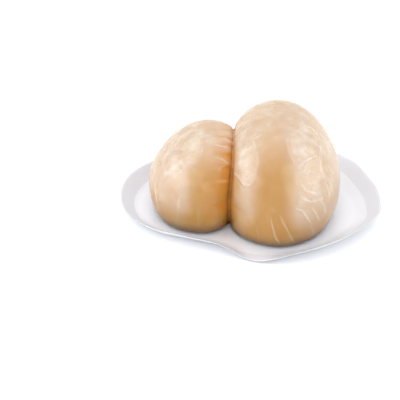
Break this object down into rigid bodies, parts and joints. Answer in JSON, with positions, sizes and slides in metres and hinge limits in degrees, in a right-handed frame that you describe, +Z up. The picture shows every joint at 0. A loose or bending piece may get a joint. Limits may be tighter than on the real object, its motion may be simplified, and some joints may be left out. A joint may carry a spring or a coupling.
{
  "type": "film-packed smoked scamorza cheese",
  "caption": "Smoked scamorza cheese, tied in at the waist, sealed under tight clear film on a curled white pear-shaped backing sheet.",
  "frame": {"origin": "under the middle of the backing sheet's bounding box, on the surface it lies on", "axes": "+Z up, +X from the small lobe towards the big lobe, -Y towards the side where the sheet's edge hangs lowest"},
  "size_m": [0.1364, 0.106, 0.0544],
  "materials": {
    "scamorza": "smoked cheese rind under glossy clear film",
    "backing_sheet": "smooth white film laminate"
  },
  "bodies": {
    "root": {"scamorza": "scamorza", "backing_sheet": "backing_sheet"}
  },
  "joints": []
}
